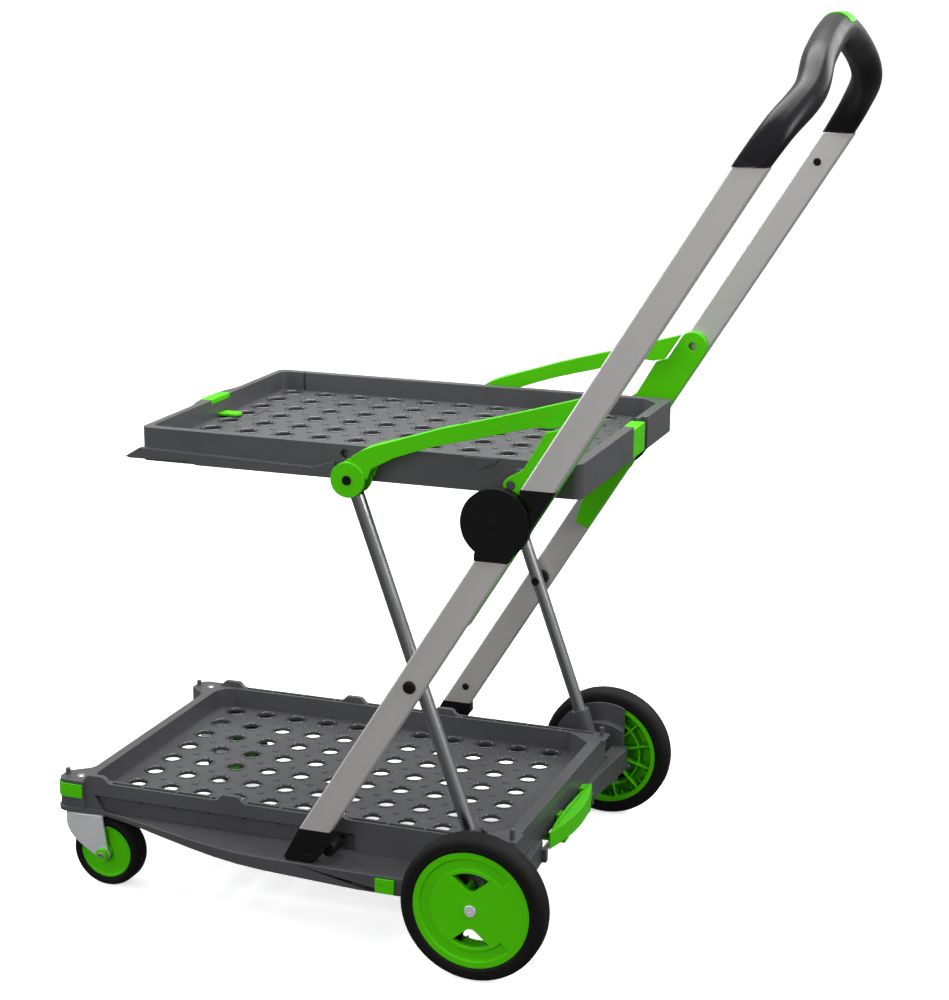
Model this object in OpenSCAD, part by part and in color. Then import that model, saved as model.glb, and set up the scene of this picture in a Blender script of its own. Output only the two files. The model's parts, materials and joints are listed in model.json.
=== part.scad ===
// Folding platform cart: two slotted decks on a scissor frame, a fold-down push handle,
// two fixed rear wheels and two swivel casters.
// X runs to the rear (handle end), Y across, Z up; the origin is on the floor below the middle.

/* [Base deck] */
// Front face of the base deck
deck_front = -255; // [-257:1:-253]
// Rear face of the base deck
deck_rear = 292; // [290:1:294]
// Half the width of both decks
deck_half = 190; // [188:1:190]
// Height of the base deck's top rim
deck_top = 131; // [130:1:132]
// Height of the base deck's floor
deck_floor = 105.5; // [105:0.5:107]

/* [Upper deck] */
// Front face of the upper deck
tray_front = -155; // [-158:1:-153]
// Rear face of the upper deck
tray_rear = 363; // [360:1:364]
// Underside of the upper deck
tray_bottom = 530; // [529:1:531]
// Top rim of the upper deck
tray_top = 568; // [567:1:570]

/* [Wheels] */
// Rear wheel radius
wheel_r = 83.4; // [83:0.2:83.6]
// Caster wheel radius
caster_r = 43.5; // [43:0.5:43.5]

/* [Frame] */
// Leg tube diameter
tube_d = 16; // [15:0.5:16]
// Width of the flat aluminium profile
profile_w = 32; // [30:1:32]

/* [Hidden] */
$fn = 64;

grey = [0.27, 0.28, 0.29];
lime = [0.36, 0.78, 0.10];
black = [0.06, 0.06, 0.06];
alu = [0.76, 0.76, 0.75];
steel = [0.62, 0.64, 0.66];

// Side view centres (x, z) of the joints
axle = [273, wheel_r];
leg_top = [110.5, 537];
cross = [189, 317.2];
guide = [86, 107];
hinge = [284.4, 508.6];
lobe = [378.5, 628.5];
tray_pin = [297, 548];
swivel = [-246, 174.6];
caster_axle_x = -219.5;
pedal_pin_at = [298, 85];

// Layers across the cart, as distances from the centre plane
tube_y = 210;
profile_y = [226, 239.5];
arm_y = [203.3, 215.3];
bracket_y = [216, 225.7];
wheel_y = [243, 275];

// Profile line: 58.3 degrees up and back, its centre 18.7 mm behind the hinge centre
slope = 58.3;
dir = [cos(slope), sin(slope)];
nrm = [-sin(slope), cos(slope)];
line_at = hinge - 18.7 * nrm;
foot_z = 134;
neck_z = [467, 548];
grip_z = 889;

hole_d = 22;
deck_holes = [for (i = [-5:5], j = [-3.5:3.5]) [6.3 + 43.9 * i, 46 * j]];
tray_holes = [for (i = [-5:5], j = [-3.5:3.5]) [103.5 + 45.9 * i, 46 * j]];

// Points of an arc round (x, y), from angle a0 to a1
function arc(x, y, r, a0, a1, n = 8) =
    [for (i = [0:n]) let(a = a0 + (a1 - a0) * i / n) [x + r * cos(a), y + r * sin(a)]];
// Point on the profile line: s along it from the hinge, t across it towards the front
function on_line(s, t) = line_at + s * dir + t * nrm;
// Where a line parallel to the profile, t in front of its centre, meets the height z
function at_z(z, t) = let(p = on_line(0, t), k = (z - p[1]) / dir[1]) [p[0] + k * dir[0], z];

// Both sides at once
module both() { children(); mirror([0, 1, 0]) children(); }
// The right side as drawn, or its mirror image for the left
module side(s) { if (s > 0) children(); else mirror([0, 1, 0]) children(); }
// Extrudes a side view (x, z) across the layer from y = y[0] to y[1]
module layer(y) { translate([0, y[1], 0]) rotate([90, 0, 0]) linear_extrude(y[1] - y[0]) children(); }
// A round bar along Y at (x, z)
module bar(at, r, y) { translate([at[0], y[0], at[1]]) rotate([-90, 0, 0]) cylinder(r = r, h = y[1] - y[0]); }
// Rounded rectangle from corner a to corner b
module rrect(a, b, r) {
    translate([a[0] + r, a[1]]) square([b[0] - a[0] - 2 * r, b[1] - a[1]]);
    translate([a[0], a[1] + r]) square([b[0] - a[0], b[1] - a[1] - 2 * r]);
    for (x = [a[0] + r, b[0] - r], y = [a[1] + r, b[1] - r]) translate([x, y]) circle(r);
}
module holes(at, d) { for (p = at) translate(p) circle(d = d, $fn = 40); }

// ---- Base -----------------------------------------------------------------------------------
slot_z = [93.2, 114.5];
slot_x = [-219, 104];

// Centre of the rounding of a front corner
corner_at = [-265.5, 180];
// Plan of the base deck with its two front corner plates
module deck_plan() {
    rrect([deck_front, -deck_half], [deck_rear, deck_half], 10);
    both() polygon(concat([[-240, 150], [deck_front, 138]], arc(-271, 138, 16, 0, 60, 5),
        [[-279.5, 166]], arc(corner_at[0], corner_at[1], 14, 180, 90, 6), [[-242.6, 194], [-242.6, 188]]));
}
// Flange along the foot of a corner plate, running on into the side wing
module corner_flange() {
    polygon(concat([[-262, 150], [-281, 164]], arc(corner_at[0], corner_at[1], 15.8, 180, 90, 6),
        [[-222.1, 192], [-222.1, 188]]));
}
// Plan of the open well
module well_plan() {
    polygon(concat(arc(-220, -155, 23, 180, 270), [[246, -178], [277, -150], [277, 150], [246, 178]],
        arc(-220, 155, 23, 90, 180)));
}
module base_deck() {
    color(grey) {
        difference() {
            union() {
                translate([0, 0, 92]) linear_extrude(deck_top - 92) deck_plan();
                both() translate([0, 0, 92]) linear_extrude(5) corner_flange();
                both() translate([274, 160, deck_top - 1]) cube([22, 28, 1.5]);
            }
            translate([0, 0, deck_floor]) linear_extrude(40) well_plan();
            translate([0, 0, 91]) linear_extrude(deck_floor - 3 - 91)
                rrect([deck_front + 8, -178], [deck_rear - 8, 178], 14);
            translate([0, 0, 90]) linear_extrude(30) holes(deck_holes, hole_d);
            both() layer([182, 202]) polygon([[slot_x[0], slot_z[0]], [slot_x[1], slot_z[0]],
                [slot_x[1], slot_z[1]], [slot_x[0] - 12, slot_z[1]]]);
            both() for (i = [0:10]) translate([-213 + 44.5 * i, 181.5, deck_top - 7]) cube([42.5, 5.5, 10]);
            both() translate([swivel[0], swivel[1], 80]) cylinder(r = kingpin_r, h = 44);
            both() translate([plate_rivet[0], plate_rivet[1], 80]) cylinder(r = 3, h = 60);
            both() bar(axle, 5.05, [170, 200]);
        }
        both() for (x = [-229, -53, 74]) layer([183, deck_half]) translate([x, deck_top]) rim_tab();
        both() {
            translate([-274, 174.6, deck_top - 1]) cylinder(d = 6, h = 8);
            translate([288, 177.5, deck_top - 1]) cylinder(d = 6, h = 13);
            difference() {
                layer([184, deck_half]) polygon(concat([[235, 93], [235, 84]],
                    arc(axle[0], axle[1], 14, 220, 320), [[291, 84], [291, 93]]));
                bar(axle, 5.05, [170, 200]);
            }
        }
    }
}

// Flat-topped tab that flares into the rim
module rim_tab() {
    polygon(concat([[-20.5, -2], [-20.5, 0], [-17, 0.8], [-14.5, 2.6]], arc(-8, 1.8, 5.7, 155, 90, 5),
        arc(8, 1.8, 5.7, 90, 25, 5), [[14.5, 2.6], [17, 0.8], [20.5, 0], [20.5, -2]]));
}

// The moulding under the deck: curved side wings, rear skirt and wheel guards
function wing_ease(t) = 0.5 * sin(90 * t) + 0.25 * (1 - cos(180 * t));
function wing_y(x) = x < 20 ? 192 + 58 * wing_ease((x + 222) / 242) : 250;
wing_x = [for (i = [0:12]) -222 + 34 * i];
module wing_plan(inset) {
    polygon(concat([[-222 + inset, deck_half]], [for (x = wing_x) [x + inset * 0.3, max(deck_half + 0.3, wing_y(x) - inset)]],
        [[186 - inset, deck_half]]));
}
// Outer line of the rear skirt in plan
function skirt_x(y) = 296 + 13 * pow(y / 222, 2);
skirt_inner = [[286, 222], [286, 190.05], [292.05, 190.05], [292.05, -190.05], [286, -190.05], [286, -222]];
skirt_y = [for (i = [-8:8]) 27.75 * i];
module skirt_plan(inset) {
    polygon(concat([for (y = skirt_y) [skirt_x(y) - inset, y]], skirt_inner));
}
module base_frame() {
    color(grey) {
        both() difference() {
            union() {
                difference() {
                    translate([0, 0, 76]) linear_extrude(20.5) wing_plan(0);
                    translate([0, 0, 93.5]) linear_extrude(4) wing_plan(3);
                    translate([0, 0, 70]) linear_extrude(20.5) wing_plan(3);
                    translate([-222, 180, 92]) rotate([0, 2.6, 0]) translate([-20, 0, -40]) cube([460, 90, 40]);
                }
                for (x = [-150, -80, -10, 60, 130])
                    translate([x, deck_half, 88]) cube([2, wing_y(x) - 1 - deck_half, 4]);
            }
            translate([178, 196, 60]) cube([40, 30.5, 60]);
            translate([152.9, 246, 76.9]) cube([23.2, 10, 17.2]);
        }
        difference() {
            union() {
                difference() {
                    translate([0, 0, 73]) linear_extrude(27) skirt_plan(0);
                    translate([0, 0, 70]) linear_extrude(26.5) skirt_plan(3);
                }
                both() {
                    translate([286, 190.05, 73]) cube([20, 46.95, 27]);
                    bar([310, 77], 3, [221, 227]);
                    guard_plate([229, 240.1], 46);
                    guard_plate([240, 242], guard_r);
                }
            }
            both() bar(axle, 5.05, [170, 243]);
            bar(pedal_pin_at, 3.05, [pedal_y[0] - 13, pedal_y[1] + 13]);
            translate([291.9, pedal_y[0] - 5, 70]) cube([40, pedal_y[1] - pedal_y[0] + 10, 60]);
        }
        // The two lugs that hold the pedal's pin
        for (y = [pedal_y[0] - 13, pedal_y[1] + 5]) difference() {
            layer([y, y + 8]) translate([292.05, 76]) square([13, 16]);
            bar(pedal_pin_at, 3.05, [y - 1, y + 9]);
        }
    }
}
// Round guard plate beside the wheel
guard_r = 70;
module guard_plate(y, r) {
    layer(y) difference() {
        translate(axle) circle(r);
        translate([180, 0]) square([200, 73]);
        translate([300, 60]) square([80, 120]);
    }
}
module corner_clips() {
    color(lime) both() translate([0, 0, 110]) linear_extrude(17)
        polygon(concat(arc(corner_at[0], corner_at[1], 15.6, 165, 90), [[-245, 195.6], [-245, 194.05]],
            arc(corner_at[0], corner_at[1], 14.05, 90, 165)));
}
module side_clips() {
    color(lime) both() difference() {
        translate([153, 244, 77]) cube([23, 8, 17]);
        translate([150, 244, 70]) cube([30, 2.9, 30]);
        bar([160, 85.5], 2, [251, 253]);
    }
}
// Kingpins of the casters, headed under the forks, and the rivets of their plates
kingpin_r = 4.2;
plate_rivet = [-257, 174.6];
module caster_rivets() {
    color(steel) both() {
        translate([swivel[0], swivel[1], 86]) cylinder(r = kingpin_r, h = 37.9);
        translate([swivel[0], swivel[1], 86]) cylinder(r = 7.5, h = 2.1);
        translate([plate_rivet[0], plate_rivet[1], 92]) cylinder(r = 2.95, h = deck_top - 92);
        translate([plate_rivet[0], plate_rivet[1], deck_top]) rotate_extrude()
            polygon(concat([[0, 0]], [for (a = [0:15:90]) [5 * cos(a), 1.4 * sin(a)]]));
    }
}
module rear_axle() { color(steel) bar(axle, 5, [-273.3, 273.3]); }
module axle_caps() {
    color(steel) both() translate([axle[0], 273.4, axle[1]]) rotate([-90, 0, 0])
        rotate_extrude() polygon([[0, 0], [6.8, 0], [6.8, 1.1], [6.2, 1.7], [0, 1.8]]);
}

// ---- Wheels ---------------------------------------------------------------------------------
module spin_at(at, y) { translate([at[0], y, at[1]]) rotate([-90, 0, 0]) rotate_extrude($fn = 96) children(); }
tyre_in = 67;
module rear_tyre(s) {
    color(black) side(s) spin_at(axle, wheel_y[0]) polygon(concat([[tyre_in, 2], [tyre_in + 3, 0.5]],
        arc(wheel_r - 9, 9.5, 9, -80, -5), arc(wheel_r - 9, 22.5, 9, 5, 80), [[tyre_in + 3, 31.5], [tyre_in, 30]]));
}
window = concat(arc(0, 0, 43, 60, 120, 8), arc(0, 29.5, 8, 225, 315, 6));
// The groove in the outer face stops this many degrees above and below the rear
groove_ends = 42;
module rear_rim(s) {
    color(lime) side(s) difference() {
        union() {
            spin_at(axle, wheel_y[0]) polygon([[5.06, 0.4], [15, 0.4], [15, 22], [61, 22], [61, 2], [tyre_in - 0.01, 2],
                [tyre_in - 0.01, 30], [5.06, 30]]);
            translate([axle[0], wheel_y[0], axle[1]]) rotate([-90, 0, 0]) {
                for (a = [0:30:330]) rotate([0, 0, a + 15]) translate([14, -1.1, 4]) cube([48, 2.2, 19]);
                rotate_extrude() translate([44, 6]) square([2.2, 17]);
                for (a = [0:15:345]) rotate([0, 0, a + 7.5]) translate([56, -1, 8]) cube([6, 2, 15]);
            }
        }
        for (k = [0, 180]) layer([wheel_y[0] - 1, wheel_y[1]]) translate(axle) rotate(k) polygon(window);
        translate([axle[0], wheel_y[0] + 27, axle[1]]) rotate([-90, 0, 0]) rotate([0, 0, groove_ends])
            rotate_extrude(angle = 360 - 2 * groove_ends, $fn = 96) polygon([[48, 0], [58.5, 0], [60, 4], [47, 4]]);
    }
}
module caster_at(y) { translate([caster_axle_x, y, caster_r]) rotate([-90, 0, 0]) children(); }
module caster_tyre(s) {
    color(black) side(s) caster_at(swivel[1] - 14) rotate_extrude($fn = 80)
        polygon(concat([[32.4, 2]], arc(caster_r - 7, 7, 7, -90, 0), arc(caster_r - 7, 21, 7, 0, 90), [[32.4, 26]]));
}
module caster_hub(s) {
    color(lime) side(s) caster_at(swivel[1] - 14) difference() {
        rotate_extrude($fn = 80) polygon([[4.06, -1], [9, -1], [9, 6], [28, 6], [28, 2], [32.39, 2], [32.39, 26], [30, 26],
            [28.5, 24.5], [9, 24.5], [9, 29], [4.06, 29]]);
        for (a = [0:60:300]) rotate([0, 0, a]) translate([18, 0, 0]) cylinder(d = 9, h = 12);
    }
}
// Zinc fork: round crown and two tapering cheeks
crown_z = [88.2, 91];
fork_x = [-267, -219.5];
module cheek() {
    polygon(concat([[fork_x[0], crown_z[1]], [fork_x[0], 79], [-265.3, 71.6], [-262.2, 65.6], [-255.6, 58], [-247.6, 52.1]],
        arc(caster_axle_x, caster_r, 8.5, 222, 404), [[fork_x[1], crown_z[1]]]));
}
module caster_fork(s) {
    color(steel) side(s) difference() {
        union() {
            translate([swivel[0], swivel[1], crown_z[0]]) cylinder(r = 22, h = crown_z[1] - crown_z[0]);
            for (y = [[-20.5, -17], [17, 20.5]]) layer(swivel[1] * [1, 1] + y)
                cheek();
            translate([fork_x[0], swivel[1] - 20.5, crown_z[0]])
                cube([fork_x[1] - fork_x[0], 41, crown_z[1] - crown_z[0]]);
        }
        caster_at(140) cylinder(d = 8.02, h = 70);
        translate([swivel[0], swivel[1], 80]) cylinder(r = kingpin_r + 0.05, h = 20);
    }
}
module caster_axle(s) {
    color(lime) side(s) {
        caster_at(swivel[1] - 24) cylinder(d = 8, h = 48);
        for (y = [swivel[1] - 25.5, swivel[1] + 20.6]) caster_at(y) cylinder(r = 7.6, h = 4.9);
    }
}

// ---- Pedal ----------------------------------------------------------------------------------
// Lens-shaped leaf with a lip that hangs at the rear
pedal_y = [-92, 76];
pedal_mid = (pedal_y[0] + pedal_y[1]) / 2;
pedal_steps = [for (i = [-6:6]) i / 6];
function pedal_in(t) = [300 + 5 * t * t, pedal_mid + 84 * t];
function pedal_out(t) = [318 - 12.5 * t * t, pedal_mid + 84 * t];
function pedal_mix(t, k) = pedal_in(t) * (1 - k) + pedal_out(t) * k;
function pedal_band(k0, k1) = concat([for (t = pedal_steps) pedal_mix(t, k0)],
    [for (i = [6:-1:-6]) pedal_mix(i / 6, k1)]);
module foot_pedal() {
    color(lime) {
        translate([0, 0, 104]) linear_extrude(4.5) polygon(pedal_band(0, 1));
        translate([0, 0, 88]) linear_extrude(16.1) polygon(pedal_band(0.84, 1));
        translate([0, 0, 88]) linear_extrude(3) polygon(pedal_band(0.55, 0.9));
    }
}
// Two arms under the deck, each ending in a pin below a deck hole
lever_y = [-20, 72];
lever_z = 70;
module release_lever() {
    color(lime) difference() {
        union() {
            for (y = lever_y) {
                translate([176, y - 8, lever_z]) cube([118, 16, 4]);
                translate([292.5, y - 8, lever_z]) cube([11.5, 16, 34.1]);
                translate([182, y, lever_z + 3]) cylinder(d = 9, h = 22);
                translate([182, y, lever_z + 25]) sphere(d = 9);
            }
            translate([120, lever_y[0] - 8, lever_z]) cube([57, 12, 4]);
            translate([215, lever_y[0], lever_z]) cube([30, lever_y[1] - lever_y[0], 4]);
        }
        bar(pedal_pin_at, 3.06, [-140, 140]);
    }
}
module pedal_pin() { color(steel) bar(pedal_pin_at, 3, [pedal_y[0] - 12, pedal_y[1] + 12]); }

// ---- Legs -----------------------------------------------------------------------------------
leg_vec = leg_top - axle;
leg_len = norm(leg_vec);
leg_tilt = atan2(leg_vec[0], leg_vec[1]);
module along_leg() { translate([axle[0], tube_y, axle[1]]) rotate([0, leg_tilt, 0]) children(); }
module leg_tube(s) {
    color(steel) side(s) difference() {
        along_leg() difference() {
            translate([0, 0, 26]) cylinder(d = tube_d, h = leg_len - 46);
            translate([0, 0, 20]) cylinder(d = tube_d - 3, h = leg_len - 20);
        }
        bar(cross, 4.05, [190, 230]);
    }
}
module leg_eyes() {
    color(grey) both() difference() {
        along_leg() union() {
            difference() {
                translate([0, 0, 8]) rotate_extrude() polygon([[0, 0], [9, 0], [10.5, 10], [11.5, 64], [0, 64]]);
                translate([0, 0, 26]) cylinder(d = tube_d + 0.02, h = 60);
            }
            translate([0, 0, 26]) cylinder(d = tube_d - 3.02, h = 22);
            rotate([-90, 0, 0]) translate([0, 0, -10.5]) cylinder(r = 12, h = 21);
        }
        bar(axle, 5.06, [190, 230]);
    }
}
module leg_top_plugs() {
    color(black) both() difference() {
        along_leg() union() {
            translate([0, 0, leg_len - 44]) cylinder(d = tube_d - 3.02, h = 26);
            translate([0, 0, leg_len - 20]) cylinder(d = tube_d, h = 18);
            translate([0, 0, leg_len]) rotate([-90, 0, 0]) translate([0, 0, -6.6]) cylinder(r = 9, h = 13.2);
        }
        bar(leg_top, 4.06, [190, 230]);
    }
}
module cross_bolts() {
    color(black) both() {
        bar(cross, 4, [200, 240]);
        bar(cross, 5, [199.6, 201.9]);
        translate([cross[0], 239.9, cross[1]]) rotate([-90, 0, 0])
            rotate_extrude() polygon(concat([[0, 0], [7.2, 0]], [for (a = [0:15:90]) [7.2 * cos(a), 0.6 + 2.6 * sin(a)]]));
    }
}
module cross_washers() {
    color(black) both() difference() { bar(cross, 10, [218.1, 225.6]); bar(cross, 4.06, [210, 230]); }
}

// ---- Lower mast -----------------------------------------------------------------------------
// Hollow flat aluminium profile between two level cuts
module profile(z0, z1) {
    difference() {
        translate([line_at[0], 0, line_at[1]]) rotate([0, 90 - slope, 0]) translate([0, 0, -600])
            linear_extrude(1300) difference() {
                rrect([-profile_w / 2, profile_y[0]], [profile_w / 2, profile_y[1]], 2.5);
                rrect([-profile_w / 2 + 2, profile_y[0] + 2], [profile_w / 2 - 2, profile_y[1] - 2], 1);
            }
        translate([-600, 200, -400]) cube([1400, 60, z0 + 400]);
        translate([-600, 200, z1]) cube([1600, 60, 900]);
    }
}
module mast_profile(s) {
    color(alu) side(s) difference() {
        profile(foot_z, neck_z[0]);
        bar(cross, 4.06, [220, 245]);
    }
}
module slide_feet() {
    color(black) both() {
        difference() {
            layer([226, 239.5]) polygon([at_z(foot_z, 16), [37, 97.5], [39.5, 95], [71, 94.5], [76, 97.5], [94, 122],
                at_z(foot_z, -16)]);
            layer([238.4, 240]) polygon([[62, 104], [72, 104], [76, 112], [66, 112]]);
        }
        layer([201, 226.01]) translate(guide) circle(8);
        bar(guide, 3, [184.5, 202]);
    }
}
disc_r = 38.3;
hinge_y = [[226, 233.4], [234, 241.5]];
module lower_hinge(s) {
    front = at_z(neck_z[0], 16);
    rear = at_z(neck_z[0], -16);
    color(black) side(s) difference() {
        union() {
            layer(hinge_y[1]) {
                translate(hinge) circle(disc_r, $fn = 96);
                polygon([front, rear, on_line(-21, -16), on_line(-21, -8), hinge, front + [0, 8]]);
            }
            layer([profile_y[0], 236]) difference() {
                polygon([front, rear, on_line(-27, -16), on_line(-27, 16)]);
                translate(hinge) circle(disc_r + 0.2, $fn = 96);
            }
        }
        bar(hinge, 5.06, [220, 245]);
    }
}
module mast_screws() {
    color(black) both() translate([87.6, 225.9, 156.9]) rotate([90, 0, 0]) cylinder(r1 = 4, r2 = 3, h = 2);
}

// ---- Handle ---------------------------------------------------------------------------------
module handle_profile(s) { color(alu) side(s) profile(neck_z[1], grip_z); }
module upper_hinge(s) {
    front = at_z(neck_z[1], 16);
    rear = at_z(neck_z[1], -16);
    color(black) side(s) {
        layer([226, 239.5]) difference() {
            polygon([front, rear, on_line(-20.5, -16), on_line(-20.5, -8), hinge, on_line(8, 16)]);
            translate(hinge) circle(disc_r + 0.8, $fn = 96);
            translate(hinge) polygon(concat([[0, 0]], arc(0, 0, 45, 22, 110)));
        }
        layer(hinge_y[0]) intersection() {
            polygon([front, rear, on_line(-10, -16), hinge, on_line(8, 16)]);
            translate(hinge) circle(disc_r + 2, $fn = 96);
        }
        layer(hinge_y[0]) {
            translate(hinge) circle(disc_r - 0.7, $fn = 96);
            polygon([on_line(-20, -16), on_line(30, -16), on_line(30, 12), hinge]);
        }
        bar(hinge, 5, [230, 241.4]);
    }
}
module hinge_covers() {
    color(black) both() translate([hinge[0], 241.6, hinge[1]]) rotate([-90, 0, 0])
        rotate_extrude() polygon([[0, 0], [5.9, 0], [5.9, 0.4], [5, 0.8], [0, 0.8]]);
}
// Centre line of the grip on one side: x, y, z from the profile to the middle of the crossbar
grip_path = [[529.5, 232.7, 872], [540, 232.7, 889], [562, 214, 925], [581, 164, 958.4], [579, 108, 991],
    [576.6, 0, 1014.3]];
grip_ends = concat([2 * grip_path[0] - grip_path[1]], grip_path, [[579, -108, 991]]);
function spline(a, b, c, d, t) = 0.5 * (2 * b + (c - a) * t + (2 * a - 5 * b + 4 * c - d) * t * t
    + (3 * b - a - 3 * c + d) * t * t * t);
grip_half = [for (i = [1:5], t = [0:1 / 7:0.99]) spline(grip_ends[i - 1], grip_ends[i], grip_ends[i + 1], grip_ends[i + 2], t)];
grip_n = len(grip_half);
grip_line = concat(grip_half, [grip_path[5]], [for (i = [grip_n - 1:-1:0]) [grip_half[i][0], -grip_half[i][1], grip_half[i][2]]]);
function unit(v) = v / norm(v);
// Section of the grip: flat and wide at the profile, round at the crossbar
function grip_ring(i, n = 20) =
    let(last = len(grip_line) - 1, p = grip_line[i],
        t = unit(grip_line[min(i + 1, last)] - grip_line[max(i - 1, 0)]),
        b = unit(cross(t, [nrm[0], 0, nrm[1]])), a = cross(b, t),
        k = min(1, max(0, (min(i, last - i) - 7) / 12)), ra = 16 + 1.3 * k, rb = 7 + 10 * k, m = 0.45 + 0.55 * k)
    [for (j = [0:n - 1]) let(w = 360 * j / n, c = cos(w), d = sin(w))
        p + a * ra * sign(c) * pow(abs(c), m) + b * rb * sign(d) * pow(abs(d), m)];
module tube_mesh(rings) {
    n = len(rings[0]);
    last = len(rings) - 1;
    polyhedron(points = [for (r = rings) each r], faces = concat([[for (j = [n - 1:-1:0]) j]],
        [for (i = [0:last - 1], j = [0:n - 1]) let(k = (j + 1) % n) [i * n + j, i * n + k, (i + 1) * n + k, (i + 1) * n + j]],
        [[for (j = [0:n - 1]) last * n + j]]), convexity = 6);
}
module grip() {
    color(black) difference() {
        tube_mesh([for (i = [0:len(grip_line) - 1]) grip_ring(i)]);
        translate([400, -300, 700]) cube([300, 600, grip_z - 700]);
        translate([560, -17, 1018]) cube([34, 34, 30]);
    }
}
module grip_screws() {
    color(black) both() translate([518, 225.9, 854.6]) rotate([90, 0, 0]) cylinder(r1 = 4, r2 = 3, h = 1.4);
}
// Flat rods inside the handle profiles that carry the button's pull to the hinges
module release_rods() {
    color(steel) both() translate([line_at[0], 232.75, line_at[1]]) rotate([0, 90 - slope, 0])
        translate([-4, -1.5, 60]) cube([8, 3, 370]);
}
module grip_button() {
    color(lime) difference() {
        translate([576.6, 0, 1014.3]) rotate([90, 0, 0]) translate([0, 0, -16]) cylinder(r = 17.6, h = 32);
        translate([540, -20, 980]) cube([80, 40, 42]);
    }
}
module button_spring() {
    color(steel) translate([577, 0, 1018.5]) difference() { cylinder(d = 9, h = 3.4); translate([0, 0, -1]) cylinder(d = 7, h = 6); }
}
// Lime bracket inside the profile, round at the top where the arm meets it, tapering to a tip below
module bracket_plan() {
    r = (lobe - on_line(0, -16)) * nrm;
    polygon(concat([at_z(389, -16), [235.5, 396], [244, 424], [262, 452], [289, 496]],
        arc(tray_pin[0], tray_pin[1], 8.5, 200, 125, 5), [[310.3, 566.2], [334.1, 607.1], [348, 611.5], [367.5, 643]], arc(lobe[0], lobe[1], r, 115, -31.7, 12)));
}
module bracket(s) {
    color(lime) side(s) difference() {
        layer(bracket_y) bracket_plan();
        bar(tray_pin, 5.06, [210, 230]);
        bar(lobe, 5.06, [210, 230]);
    }
}
module tray_pivots() {
    color(grey) both() { bar(tray_pin, 5, [186, 225.6]); bar(tray_pin, 8, [198.5, 206]); }
}

// ---- Arms -----------------------------------------------------------------------------------
// Side view: the block at the front end and the tapering arm
module arm_side() {
    polygon([[108, 553], [115, 563], [126, 570.5], [140, 576], [160, 582], [160, 563], [137, 551], [128, 536]]);
    polygon([[119, 556], [126, 568], [140, 576], [191, 592.3], [214, 600], [274, 616.5], [313, 627.5],
        [366, 643.2], [346.5, 612.6], [333, 609.5], [322, 610.3], [303, 605.6], [254, 592.2], [214, 582],
        [191, 574.6], [150, 560], [137, 551], [132, 538]]);
}
// Top view: wide at the fork round the leg, narrowing to the rear
arm_top = [[90, 221.5], [130, 221.5], [180, arm_y[1]], [400, arm_y[1]], [400, 207], [235, 207],
    [225, 203.3], [165, 203.3], [140, 197.2], [90, 197.2]];
// Room inside the arm's fork for the leg, which swings from below to along the arm
module leg_room() {
    circle(13);
    polygon([[-1, 8.8], [59, 14.1], [60, -30], [30, -60], [-10, -60], [-13, 0]]);
}
module arm(s) {
    color(lime) side(s) difference() {
        union() {
            layer([218.3, 224]) translate(leg_top) circle(19.6);
            layer([197.2, 201.7]) translate(leg_top) circle(19.6);
            intersection() {
                layer([190, 230]) arm_side();
                translate([0, 0, 500]) linear_extrude(200) polygon(arm_top);
            }
        }
        layer([201.7, 218.3]) translate(leg_top) leg_room();
        bar(leg_top, 4.06, [190, 230]);
    }
}
module arm_screws() {
    color(black) both() {
        bar(leg_top, 4, [197.3, 224.1]);
        bar(leg_top, 5.2, [224.05, 225.3]);
    }
}

// ---- Upper deck -----------------------------------------------------------------------------
tray_floor = 544.5;
module upper_deck() {
    color(grey) difference() {
        union() {
            translate([0, 0, tray_bottom]) linear_extrude(tray_top - tray_bottom) {
                rrect([tray_front, -deck_half], [tray_rear, deck_half], 10);
                polygon([[tray_front + 5, -62], [tray_front, -62], [tray_front - 6.5, -34], [tray_front - 6.5, 34],
                    [tray_front, 62], [tray_front + 5, 62]]);
            }
            both() layer([deck_half - 2, 195.5]) polygon([[-155, 545], [-172, 534.5], [-168, 532.5], [-95, 534],
                [-84, 530.6], [84, 530.6], [84, 549], [56, 540.5]]);
        }
        translate([0, 0, tray_floor]) linear_extrude(40) polygon(concat(arc(-137, -168, 10, 180, 270),
            [[330, -178], [351, -157], [351, 157], [330, 178]], arc(-137, 168, 10, 90, 180)));
        translate([0, 0, 520]) linear_extrude(tray_floor - 3 - 520) rrect([tray_front + 4, -186], [tray_rear - 4, 186], 8);
        translate([0, 0, 520]) linear_extrude(60) holes(tray_holes, hole_d);
        translate([346, latch_y[0] - 0.5, 520]) cube([20, latch_y[1] - latch_y[0] + 1, 60]);
        translate([356, latch_y[1], 520]) cube([10, 11, 60]);
        translate([-170, -27, 562]) cube([24, 52, 20]);
        layer([-12, 24]) polygon([[-154, 544.9], [-148.5, 544.9], [-148.5, 569], [-156.5, 569]]);
        translate([-149, -9, 544.9]) cube([4, 22, 5.5]);
        both() translate([-141, 140, tray_floor]) cube([5, 3, 40]);
        both() translate([-118, 176, tray_floor]) cube([3, 5, 40]);
        translate([-111.5, 14, 540]) cube([2.5, 40, 10]);
        bar(front_pin, 1.55, [-13.6, 25.6]);
        bar(rear_pin, 1.55, [latch_y[0] - 3.1, latch_y[1] + 3.1]);
        both() bar([94, 557.8], 5, [182, 200]);
        both() bar(tray_pin, 5.06, [185.9, 200]);
    }
    color(grey) both() difference() { bar(tray_pin, 11, [deck_half, 197.5]); bar(tray_pin, 5.06, [185.9, 200]); }
}
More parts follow.
